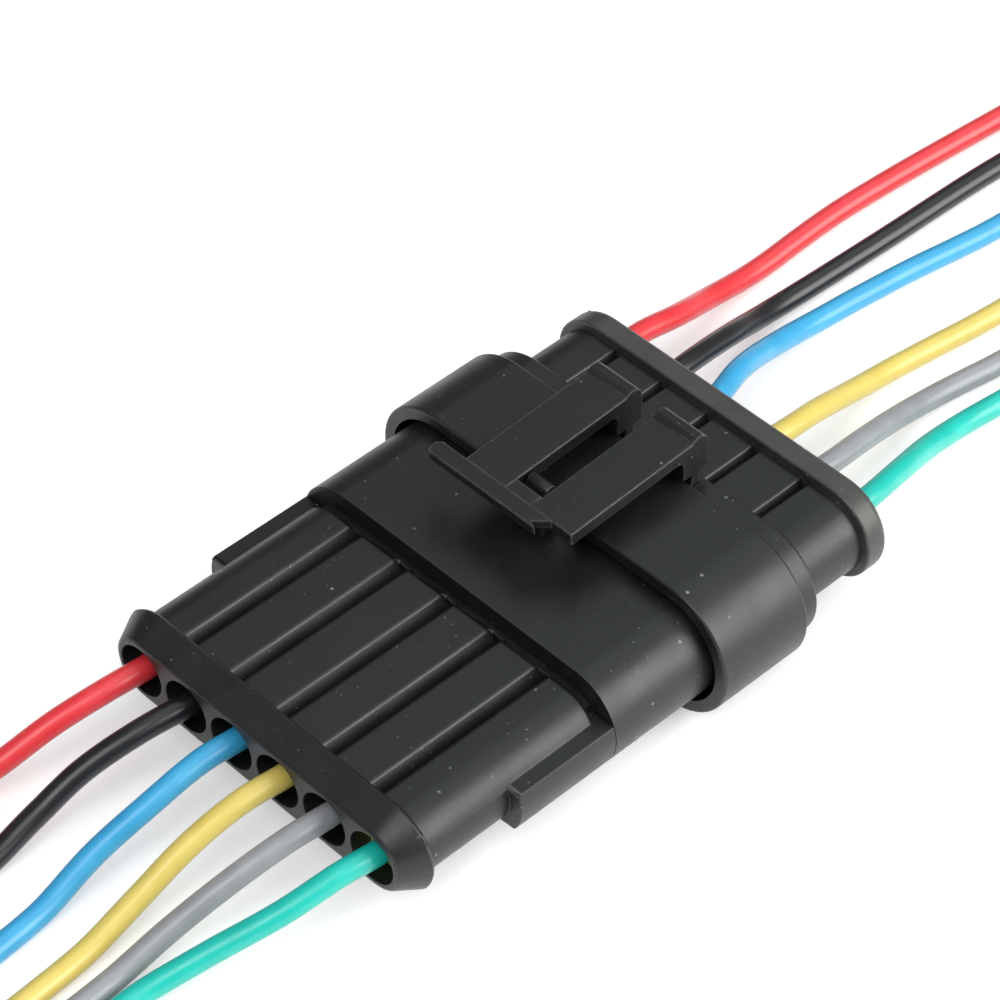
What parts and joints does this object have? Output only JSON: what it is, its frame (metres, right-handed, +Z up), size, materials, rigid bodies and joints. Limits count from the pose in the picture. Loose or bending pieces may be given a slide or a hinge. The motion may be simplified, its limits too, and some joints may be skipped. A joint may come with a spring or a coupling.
{
  "type": "sealed automotive wire connector",
  "caption": "Flat sealed in-line wire connector, ribbed cap half mated into a collared plug half, held by a latch lever on top, with coloured wire leads out of both ends.",
  "frame": {"origin": "on the resting surface, under the middle of the mated pair without its wires", "axes": "+X along the mating direction from the cap half to the plug half, +Y along the row of contacts towards the red wires, +Z up through the latch lever"},
  "size_m": [0.2322, 0.0458, 0.019],
  "materials": {
    "housing": "satin moulded charcoal plastic with worn edges and dust",
    "contact_lock": "satin orange-red moulded plastic",
    "wire_seal": "matte yellow-green silicone rubber",
    "face_seal": "matte orange silicone rubber",
    "terminal": "bright tin plating on brass",
    "wire_red": "semi-gloss soft insulation",
    "wire_black": "semi-gloss soft insulation",
    "wire_blue": "semi-gloss soft insulation",
    "wire_yellow": "semi-gloss soft insulation",
    "wire_grey": "semi-gloss soft insulation",
    "wire_green": "semi-gloss soft insulation"
  },
  "bodies": {
    "cap_half": {"cap_housing": "housing", "cap_shroud": "housing", "latch_catch": "housing", "cap_secondary_lock": "contact_lock", "pin_terminal_1": "terminal", "pin_terminal_2": "terminal", "pin_terminal_3": "terminal", "pin_terminal_4": "terminal", "pin_terminal_5": "terminal", "pin_terminal_6": "terminal", "cap_wire_seal_1": "wire_seal", "cap_wire_seal_2": "wire_seal", "cap_wire_seal_3": "wire_seal", "cap_wire_seal_4": "wire_seal", "cap_wire_seal_5": "wire_seal", "cap_wire_seal_6": "wire_seal", "cap_wire_red": "wire_red", "cap_wire_black": "wire_black", "cap_wire_blue": "wire_blue", "cap_wire_yellow": "wire_yellow", "cap_wire_grey": "wire_grey", "cap_wire_green": "wire_green"},
    "plug_half": {"plug_housing": "housing", "plug_collar": "housing", "plug_tongue": "housing", "plug_secondary_lock": "contact_lock", "interface_seal": "face_seal", "socket_terminal_1": "terminal", "socket_terminal_2": "terminal", "socket_terminal_3": "terminal", "socket_terminal_4": "terminal", "socket_terminal_5": "terminal", "socket_terminal_6": "terminal", "plug_wire_seal_1": "wire_seal", "plug_wire_seal_2": "wire_seal", "plug_wire_seal_3": "wire_seal", "plug_wire_seal_4": "wire_seal", "plug_wire_seal_5": "wire_seal", "plug_wire_seal_6": "wire_seal", "plug_wire_red": "wire_red", "plug_wire_black": "wire_black", "plug_wire_blue": "wire_blue", "plug_wire_yellow": "wire_yellow", "plug_wire_grey": "wire_grey", "plug_wire_green": "wire_green"},
    "latch": {"latch_arm_left": "housing", "latch_arm_right": "housing", "latch_bar": "housing"}
  },
  "joints": [
    {"name": "plug_pull", "type": "slide", "parent": "cap_half", "child": "plug_half", "axis": [1, 0, 0], "range_m": [0, 0.018]},
    {"name": "latch_lift", "type": "hinge", "parent": "plug_half", "child": "latch", "pos_m": [0.01795, 0, 0.01295], "axis": [0, 1, 0], "range_deg": [0, 31]}
  ],
  "couplings": [
    {"joint": "latch_lift", "follows": "plug_pull", "rad_per_m": 30}
  ]
}
